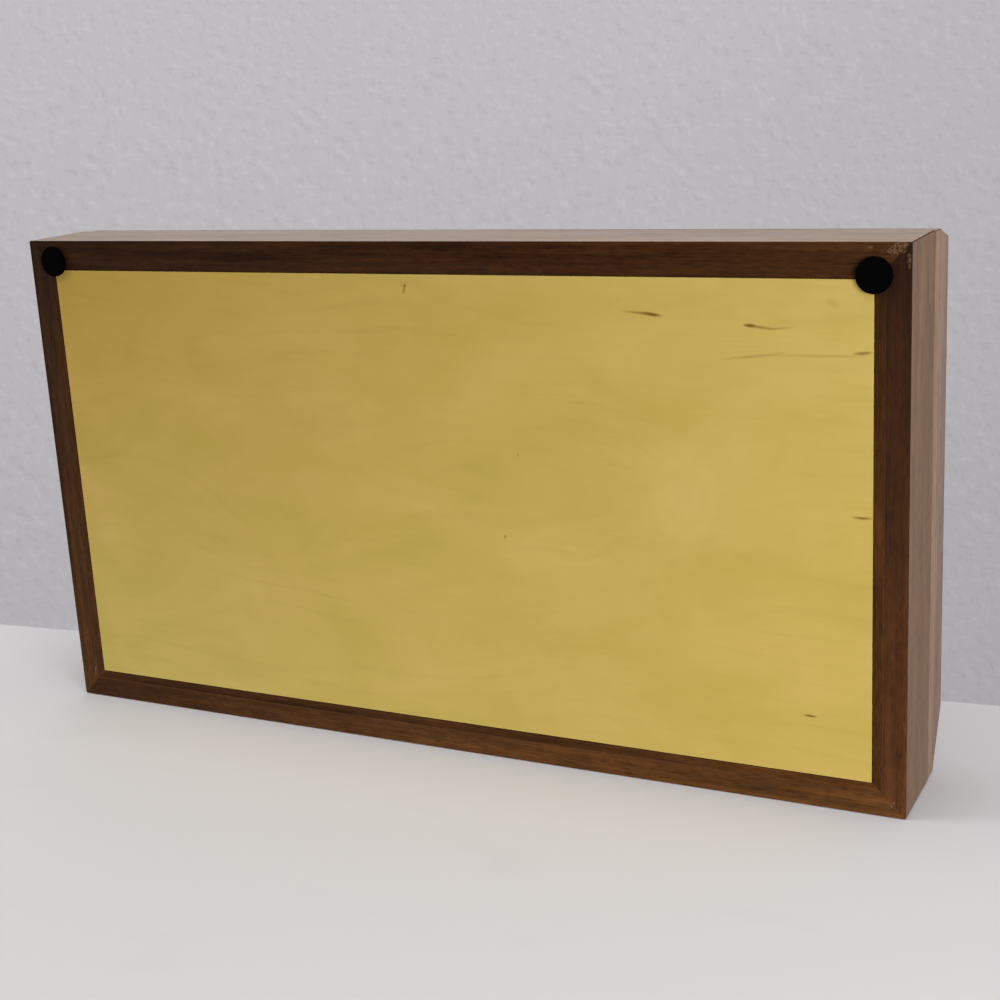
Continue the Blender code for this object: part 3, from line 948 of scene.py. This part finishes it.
    def foot(self, name: str, felt: Material) -> None:
        """Makes one felt pad in place of its solid.

        Args:
            name: The solid's name.
            felt: The felt.
        """
        low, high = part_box(name)
        centre = (low + high) / 2
        radius = (high.x - low.x) / 2
        wander = random.Random(name)
        mesh = bmesh.new()
        place = Matrix.Translation((centre.x, centre.y, low.z))
        bmesh.ops.create_circle(
            mesh, cap_ends=True, segments=self.pad_segments, radius=radius - self.pad_fuzz, matrix=place
        )
        grown = bmesh.ops.extrude_face_region(mesh, geom=mesh.faces[:])
        verts = picked(grown["geom"], bmesh.types.BMVert)
        bmesh.ops.translate(mesh, vec=Vector((0.0, 0.0, high.z - low.z)), verts=verts)
        rims = [edge for edge in mesh.edges if abs(edge.verts[0].co.z - edge.verts[1].co.z) < 1e-6]
        round_over(mesh, rims, self.pad_rim, 3)
        caps = [face for face in mesh.faces if len(face.verts) > 8]
        step = radius * self.pad_ring_share
        for _ in range(self.pad_rings):
            bmesh.ops.inset_region(mesh, faces=caps, thickness=step, use_even_offset=True)
        for vert in mesh.verts:
            outward = Vector((vert.co.x - centre.x, vert.co.y - centre.y, 0.0))
            if outward.length > radius * 0.8:
                vert.co += outward.normalized() * wander.uniform(-self.pad_fuzz, self.pad_fuzz)
        pad = finished(f"felt_{name}", mesh, felt)
        seated(pad, Body.CASE, Slot.FELT, name)

    def build(self) -> None:
        """Finishes the case and its feet."""
        self.walls()
        self.glue()
        self.bottom()
        felt = Fabric("black_felt", (0.0005, 0.0005, 0.0006), (0.0022, 0.0022, 0.0024), 5200.0, 0.0).make()
        self.foot("foot_left", felt)
        self.foot("foot_right", felt)


@dataclass
class Interior:
    """The inside: linings, halved dividers and padded ring rolls."""

    nodes: dict
    case: Case
    rolled_edge: float = 0.42
    shoulder: float = 0.24
    slack: float = 0.0013
    voxel: float = 0.0013
    enlarged: float = 25.0
    pressure: float = 4.0
    frames: int = 20
    furthest: float = 0.0026
    model_length: float = 0.07095
    crease_depth: float = 0.0005
    crease_reach: float = 0.012

    def dividers(self) -> None:
        """Finishes the dividers."""
        dress(self.nodes, "long_divider", self.case.wood("long_divider", Grain.ALONG_X, 11.0))
        for number in (1, 2, 3):
            name = f"cross_divider_{number}"
            dress(self.nodes, name, self.case.wood(name, Grain.ALONG_Y, 11.0 + number))

    def lining(self, node: str, body: Body, velvet: Material) -> None:
        """Makes a velvet lining with softly rolled edges in place of its solid.

        Args:
            node: The solid's name.
            body: The body that it rides on.
            velvet: Its fabric.
        """
        low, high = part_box(node)
        mesh = bmesh.new()
        block(mesh, low, high)
        round_over(mesh, mesh.edges[:], (high.z - low.z) * self.rolled_edge, 4)
        cover = finished(f"velvet_{node}", mesh, velvet)
        seated(cover, body, Slot.VELVET, node)

    def slack_cover(self, size: Vector) -> bpy.types.Object:
        """A roll's cover before it is filled: a smaller rounded block, enlarged and evenly meshed.

        Args:
            size: The filled roll's size.

        Returns:
            The temporary object, with its lowest face at zero and a group that holds its base.
        """
        mesh = bmesh.new()
        slim = Vector((size.x - 2 * self.slack, size.y - 2 * self.slack, size.z - self.slack))
        block(mesh, Vector((-slim.x / 2, -slim.y / 2, 0.0)), Vector((slim.x / 2, slim.y / 2, slim.z)))
        upper = [edge for edge in mesh.edges if max(vert.co.z for vert in edge.verts) > slim.z / 2]
        round_over(mesh, upper, slim.y * self.shoulder, 4)
        bmesh.ops.scale(mesh, vec=Vector((self.enlarged,) * 3), verts=mesh.verts)
        cover = placed("slack_cover", as_data("slack_cover", mesh))
        even = cover.modifiers.new("even", "REMESH")
        even.mode = "VOXEL"
        even.voxel_size = self.voxel * self.enlarged
        graph = bpy.context.evaluated_depsgraph_get()
        fine = bpy.data.meshes.new_from_object(cover.evaluated_get(graph))
        cover.modifiers.clear()
        cover.data = fine
        group = cover.vertex_groups.new(name="base")
        base_level = self.voxel * self.enlarged * 0.6
        group.add([vert.index for vert in fine.vertices if vert.co.z < base_level], 1.0, "REPLACE")
        return cover

    def filled(self, size: Vector) -> Shell:
        """Fills a roll's cover by cloth simulation, at an enlarged scale.

        Args:
            size: The filled roll's size.

        Returns:
            The vertices round the middle of the roll's base, and the faces as lists of indices.
        """
        cover = self.slack_cover(size)
        cloth = cover.modifiers.new("cloth", "CLOTH")
        settings = cloth.settings
        settings.quality = 6
        settings.mass = 0.3
        settings.bending_stiffness = 0.5
        settings.use_pressure = True
        settings.uniform_pressure_force = self.pressure
        settings.vertex_group_mass = "base"
        settings.effector_weights.gravity = 0.0
        cloth.point_cache.frame_end = self.frames
        for frame in range(1, self.frames + 1):
            bpy.context.scene.frame_set(frame)
        graph = bpy.context.evaluated_depsgraph_get()
        puffed = cover.evaluated_get(graph).to_mesh()
        limit = self.furthest * self.enlarged
        spots = []
        for still, moved in zip(cover.data.vertices, puffed.vertices):
            way = moved.co - still.co
            if way.length > limit:
                way *= limit / way.length
            spots.append((still.co + way) / self.enlarged)
        faces = [list(face.vertices) for face in puffed.polygons]
        bpy.context.scene.frame_set(1)
        fine = cover.data
        bpy.data.objects.remove(cover)
        bpy.data.meshes.remove(fine)
        return spots, faces

    def roll(self, node: str, shape: Shell, velvet: Material) -> None:
        """Makes one padded ring roll in place of its solid, pressed flat by what it lies against.

        Args:
            node: The solid's name.
            shape: The filled roll's vertices and faces.
            velvet: Its fabric.
        """
        low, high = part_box(node)
        middle = (low + high) / 2
        spots, faces = shape
        wander = random.Random(node)
        flip = wander.choice((-1.0, 1.0))
        longer = (high.x - low.x) / self.model_length
        phase = wander.uniform(0.0, 6.0)
        mesh = bmesh.new()
        verts = []
        for spot in spots:
            crease = math.sin(spot.x * 1900.0 + phase) * math.sin(spot.x * 730.0 + spot.y * 240.0 + phase)
            near_end = max(0.0, 1.0 - (self.model_length / 2 - abs(spot.x)) / self.crease_reach)
            height = spot.z - self.crease_depth * (0.25 + near_end) * (0.5 + 0.5 * crease)
            place = Vector((middle.x + spot.x * longer * flip, middle.y + spot.y, low.z + max(0.0, height)))
            place.x = min(max(place.x, low.x), high.x)
            place.y = min(max(place.y, low.y), high.y)
            place.z = min(place.z, high.z)
            verts.append(mesh.verts.new(place))
        for face in faces:
            mesh.faces.new([verts[index] for index in face])
        cushion = finished(f"velvet_{node}", mesh, velvet)
        soften = cushion.modifiers.new("soften", "SUBSURF")
        soften.levels = soften.render_levels = 1
        seated(cushion, Body.CASE, Slot.VELVET, node)

    def build(self) -> None:
        """Finishes the inside."""
        velvet = Fabric("charcoal_velvet", (0.020, 0.020, 0.023), (0.050, 0.050, 0.056), 2600.0, 0.45).make()
        self.dividers()
        self.lining("floor_lining", Body.CASE, velvet)
        self.lining("lid_lining", Body.LID, velvet)
        low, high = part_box("ring_roll_1")
        shape = self.filled(high - low)
        for number in range(1, 7):
            self.roll(f"ring_roll_{number}", shape, velvet)


@dataclass
class Lid:
    """The lid: a paler rim under a mitred walnut frame with a flush panel."""

    nodes: dict
    case: Case
    sapwood: Colour = (0.278, 0.176, 0.116)
    walnut: Colour = (0.168, 0.099, 0.060)
    frame_walnut: Colour = (0.222, 0.147, 0.112)
    glue_colour: Colour = (0.105, 0.060, 0.034)
    gloss: float = 0.34
    bevel_rise: float = 0.0117
    front_bevel_run: float = 0.0194
    back_bevel_run: float = 0.0035
    bevel_start: float = 0.0003
    mitre_reach: float = 0.0375
    strip_recess: float = 0.0004
    leaf_lip: float = 0.0001

    def boards(self) -> None:
        """Finishes the paler strips of the rim, the frame above them and its panel."""
        along, across = ("rail", Grain.ALONG_X), ("stile", Grain.ALONG_Y)
        sides = (("front", *along), ("right", *across), ("back", *along), ("left", *across))
        for number, (side, kind, grain) in enumerate(sides):
            strip = Wood(f"sapwood_{side}", self.sapwood, grain, 20.0 + number, contrast=0.5)
            dress(self.nodes, f"lid_rim_{side}", strip.make())
            name = f"lid_{kind}_{side}"
            look = {"colour": self.frame_walnut, "gloss": self.gloss}
            dress(self.nodes, name, self.case.wood(name, grain, 30.0 + number, **look))
        look = {"colour": self.walnut, "gloss": self.gloss}
        dress(self.nodes, "lid_panel", self.case.wood("lid_panel", Grain.ALONG_X, 34.0, **look))

    def bevel_planes(self, low: Vector, high: Vector) -> tuple[tuple[Vector, Vector], ...]:
        """The planes of the front and back bevels.

        Args:
            low: The frame's lowest corner.
            high: Its highest corner.

        Returns:
            A point and the outward normal of each plane.
        """
        front = Vector((0.0, -self.bevel_rise, self.front_bevel_run)).normalized()
        back = Vector((0.0, self.bevel_rise, self.back_bevel_run)).normalized()
        start = low.z + self.bevel_start
        return (Vector((0.0, low.y, start)), front), (Vector((0.0, high.y, start)), back)

    def glue(self) -> None:
        """Fills the line between the rim and the frame, and the mitres of both."""
        low, high = outline("lid_stile_left", "lid_rail_front", "lid_stile_right", "lid_rail_back")
        rim_low, rim_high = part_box("lid_rim_left")
        mesh = bmesh.new()
        upper = JointedFrame(low, high, self.mitre_reach, self.bevel_planes(low, high))
        upper.leaves(mesh, low.z + self.leaf_lip, high.z - 2 * self.leaf_lip)
        upper.trim(mesh)
        lower = JointedFrame(low, high, rim_high.x - rim_low.x)
        lip = self.case.glue_lip
        lower.ring(mesh, lower.recess, lower.width - self.strip_recess, rim_high.z - lip, low.z + lip)
        lower.leaves(mesh, rim_low.z + 3 * self.leaf_lip, rim_high.z - self.leaf_lip)
        material = Glue("lid_glue_line", self.glue_colour, self.glue_colour, high.y).make()
        seated(finished("lid_glue", mesh, material, False), Body.LID, Slot.WALNUT)

    def build(self) -> None:
        """Finishes the lid."""
        self.boards()
        self.glue()


@dataclass
class Hinges:
    """The concealed hinges: two barrels and a curved link on each side."""

    nodes: dict

    def build(self) -> None:
        """Finishes the barrels and the links."""
        brass = TurnedBrass("turned_brass", (0.72, 0.50, 0.19)).make()
        for side in ("left", "right"):
            for part in ("case_barrel", "lid_barrel", "hinge_link"):
                dress(self.nodes, f"{part}_{side}", brass)


@dataclass
class Viewpoint:
    """The camera that looks up at the underside of the box, which stands on its front side."""

    place: Vector = field(default_factory=lambda: Vector((-0.27479, 0.14925, -0.47713)))
    forward: Vector = field(default_factory=lambda: Vector((0.44326, -0.260496, 0.857708)))
    right: Vector = field(default_factory=lambda: Vector((-0.893638, -0.053456, 0.445594)))
    down: Vector = field(default_factory=lambda: Vector((-0.070225, -0.963994, -0.256484)))
    lens: float = 59.576
    frame_size: float = 1000.0
    sensor: float = 36.0

    def direction(self, across: float, below: float) -> Vector:
        """The way to a point of the picture.

        Args:
            across: Its distance from the picture's left edge, in pixels.
            below: Its distance from the top edge.

        Returns:
            The direction, one unit deep.
        """
        focal = self.lens / self.sensor * self.frame_size
        middle = self.frame_size / 2
        return self.forward + self.right * (across - middle) / focal + self.down * (below - middle) / focal

    def build(self) -> None:
        """Makes the camera and makes it the scene's."""
        data = bpy.data.cameras.new("photo_camera")
        data.lens = self.lens
        data.sensor_width = self.sensor
        data.clip_start = 0.01
        data.clip_end = 50.0
        camera = placed("photo_camera", data)
        turn = Matrix((self.right, -self.down, -self.forward)).transposed()
        camera.matrix_world = Matrix.Translation(self.place) @ turn.to_4x4()
        bpy.context.scene.camera = camera


@dataclass
class Studio:
    """Plain pale surroundings: a floor, the table and wall of the photograph, and soft lights."""

    viewpoint: Viewpoint
    case_length: float = 0.330
    case_depth: float = 0.1814
    clear: float = 0.0002
    wall_distance: float = 4.0
    fade: float = 0.35
    tone: Colour = (0.655, 0.640, 0.640)
    wall_tone: Colour = (0.520, 0.505, 0.525)
    table_white: Colour = (0.606, 0.606, 0.635)
    floor_white: Colour = (0.72, 0.70, 0.70)
    painted_contact_shadow: Colour = (0.02, 0.02, 0.02)
    painted_contact_shadow_edge: tuple[float, float] = (0.012, 0.002)
    ambient: float = 0.55
    ambient_below: float = 0.06

    def surface(self, name: str, corners: list[Point], material: Material) -> None:
        """Makes one flat piece of the surroundings, which only the camera sees.

        Args:
            name: Its name.
            corners: Its corners, in order.
            material: Its finish.
        """
        mesh = bmesh.new()
        mesh.faces.new([mesh.verts.new(corner) for corner in corners])
        board = placed(name, as_data(name, mesh))
        board.data.materials.append(material)
        board.visible_diffuse = board.visible_glossy = False
        board.visible_transmission = board.visible_shadow = False

    def see_through(self, bench: MaterialBench, solid: bpy.types.Node, shown: Value) -> Material:
        """Lets a surface be clear from behind, and wherever a mask says so.

        Args:
            bench: The material's nodes.
            solid: The shader that is seen.
            shown: How much of it is seen from the front.

        Returns:
            The material.
        """
        bench.tree.nodes.remove(bench.shader)
        clear = bench.add("ShaderNodeBsdfTransparent")
        side = bench.add("ShaderNodeNewGeometry")
        front = bench.sums("SUBTRACT", 1.0, side.outputs["Backfacing"])
        mixed = bench.shaders(bench.times(shown, front), clear.outputs[0], solid.outputs[0])
        bench.feed(bench.tree.nodes["Material Output"].inputs["Surface"], mixed)
        return bench.material

    def matt(self, name: str, colour: Colour, centre: Point, size: Point, behind: bool) -> Material:
        """A matt white surface that fades out round its edge, with a painted contact shadow where the box
        lies on it.

        Args:
            name: The material's name.
            colour: Its colour.
            centre: The middle of what stays solid.
            size: How far it reaches on each axis.
            behind: Whether it is only seen through the floor, from below.

        Returns:
            The material.
        """
        bench = MaterialBench(name)
        solid = bench.add("ShaderNodeBsdfDiffuse")
        smudge = bench.noise((16.0, 16.0, 30.0), 3.0)
        worn = tuple(value * 0.965 for value in colour)
        tone = bench.blend(bench.span(smudge, 0.58, 0.72), colour, worn)
        # Painted shadow: the footprint of the box is darkened nearly to black.
        if not behind:
            place = bench.axes()
            under = 1.0
            for axis, half in (("X", self.case_length / 2), ("Y", self.case_depth / 2)):
                start, end = (half - inward for inward in self.painted_contact_shadow_edge)
                off_axis = bench.sums("ABSOLUTE", place[axis])
                under = bench.times(bench.span(off_axis, start, end, 1.0, 0.0), under)
            tone = bench.blend(under, tone, self.painted_contact_shadow)
        bench.feed(solid.inputs["Color"], tone)
        shown = bench.span(bench.spot(centre, size), 0.0, self.fade)
        if behind:
            path = bench.add("ShaderNodeLightPath")
            passed = bench.sums("GREATER_THAN", path.outputs["Transparent Depth"], 0.5)
            shown = bench.times(shown, passed)
        return self.see_through(bench, solid, shown)

    def plaster(self, name: str, middle: Vector) -> Material:
        """A far wall that glows at its own tone, with painted shade and highlights on its plaster lumps,
        painted shade towards its bottom and a painted shadow of the box towards -X.

        Args:
            name: The material's name.
            middle: The middle of the wall.

        Returns:
            The material.
        """
        bench = MaterialBench(name)
        solid = bench.add("ShaderNodeEmission")
        # Painted light and shade: two offset noises are subtracted to draw lit and shaded sides on the
        # plaster lumps.
        lumps = bench.noise((42.0, 42.0, 42.0), 2.0)
        beside = bench.noise((42.0, 42.0, 42.0), 2.0, shift=(0.006, -0.006, 0.0))
        painted_relief_shade = bench.sums("SUBTRACT", lumps, beside)
        sparse = bench.times(bench.times(painted_relief_shade, painted_relief_shade), painted_relief_shade)
        lit = bench.span(sparse, -0.004, 0.004, 0.92, 1.04)
        place = bench.axes()
        # Painted shade: the wall darkens towards its bottom, and a painted box shadow darkens it towards -X.
        height = bench.span(place["Y"], middle.y - 1.1, middle.y + 0.75, 0.84, 1.06)
        painted_box_shadow = bench.span(place["X"], middle.x - 1.6, middle.x - 0.3, 0.90, 1.0)
        lit = bench.times(lit, bench.times(height, painted_box_shadow))
        bench.feed(solid.inputs["Color"], bench.tint(self.wall_tone, lit))
        shown = bench.span(bench.spot(tuple(middle), (9.0, 9.0, 9.0)), 0.0, self.fade)
        return self.see_through(bench, solid, shown)

    def floors(self) -> None:
        """Makes the table under the front side, the floor under the feet and the far wall."""
        table_y = -self.case_depth / 2 - self.clear
        near = self.matt("table_white", self.table_white, (0.0, table_y, -0.42), (1.3, 1.3, 0.66), False)
        outline_xz = ((-1.0, 0.0), (1.0, 0.0), (1.0, -1.0), (-1.0, -1.0))
        self.surface("table", [(x, table_y, z) for x, z in outline_xz], near)
        far = self.matt("table_white_far", self.table_white, (0.0, table_y, 0.0), (1.3, 1.3, 1.3), True)
        outline_xz = ((-1.0, 0.1953), (0.76, 0.0015), (0.76, 0.0), (-1.0, 0.0))
        self.surface("table_far", [(x, table_y, z) for x, z in outline_xz], far)
        floor = self.matt("floor_white", self.floor_white, ORIGIN, (1.0, 1.0, 1.0), False)
        z = -self.clear
        self.surface("floor", [(-1.0, -1.0, z), (1.0, -1.0, z), (1.0, 1.0, z), (-1.0, 1.0, z)], floor)
        eye = self.viewpoint
        picture = ((-250.0, 700.0), (1250.0, 800.0), (1250.0, -300.0), (-250.0, -300.0))
        corners = [eye.place + eye.direction(*spot) * self.wall_distance for spot in picture]
        self.surface("far_wall", corners, self.plaster("wall_plaster", sum(corners, Vector()) / 4))

    def sky(self) -> None:
        """Sets a pale light all round, darker from below, and the tone that the camera sees."""
        world = bpy.data.worlds.new("pale_room")
        world.use_nodes = True
        bpy.context.scene.world = world
        bench = NodeBench(world.node_tree)
        around = bench.add("ShaderNodeTexCoord")
        split = bench.add("ShaderNodeSeparateXYZ")
        bench.feed(split.inputs[0], around.outputs["Generated"])
        rise = bench.span(split.outputs["Z"], -0.88, -0.28, self.ambient_below, self.ambient)
        lit = bench.tree.nodes["Background"]
        bench.feed(lit.inputs["Color"], (1.0, 0.985, 0.965))
        bench.feed(lit.inputs["Strength"], rise)
        seen = bench.add("ShaderNodeBackground")
        bench.feed(seen.inputs["Color"], self.tone)
        rays = bench.add("ShaderNodeLightPath")
        mixed = bench.shaders(rays.outputs["Is Camera Ray"], lit.outputs[0], seen.outputs[0])
        bench.feed(bench.tree.nodes["World Output"].inputs["Surface"], mixed)

    def lamp(self, name: str, place: Point, aim: Point, size: tuple[float, float], share: float) -> None:
        """Adds a soft rectangular light.

        Args:
            name: Its name.
            place: Where it hangs.
            aim: What it points at.
            size: Its width and height.
            share: How bright it makes a white surface that faces it at its aim.
        """
        data = bpy.data.lights.new(name, "AREA")
        data.shape = "RECTANGLE"
        data.size, data.size_y = size
        data.color = (1.0, 0.975, 0.94)
        way = Vector(aim) - Vector(place)
        data.energy = share * math.pi**2 * way.length_squared
        turn = way.to_track_quat("-Z", "Y").to_matrix()
        placed(name, data).matrix_world = Matrix.Translation(place) @ turn.to_4x4()

    def build(self) -> None:
        """Makes the surroundings and the lights."""
        bpy.context.scene.view_settings.view_transform = "Standard"
        self.floors()
        self.sky()
        middle = (0.0, 0.0, 0.02)
        self.lamp("key", (1.10, 0.75, -0.45), middle, (0.6, 0.6), 0.30)
        self.lamp("fill", (-0.74, 0.14, -0.60), (-0.05, 0.0, 0.0), (0.5, 0.5), 0.80)
        self.lamp("ceiling", (-0.1, 1.4, -0.25), (0.0, -0.09, 0.0), (1.2, 1.2), 0.36)
        self.lamp("overhead", (0.50, 0.10, 1.10), middle, (1.5, 1.2), 0.34)
        self.lamp("front", (0.65, -2.2, 1.10), middle, (1.5, 1.5), 0.35)


def main() -> None:
    """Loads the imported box, dresses it part by part and sets it in the studio."""
    logging.basicConfig(level=logging.INFO, format="%(message)s")
    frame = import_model()
    nodes = frame["nodes"]
    viewpoint = Viewpoint()
    viewpoint.build()
    case = Case(nodes)
    case.build()
    Interior(nodes, case).build()
    Lid(nodes, case).build()
    Hinges(nodes).build()
    Studio(viewpoint).build()


if __name__ == "__main__":
    main()
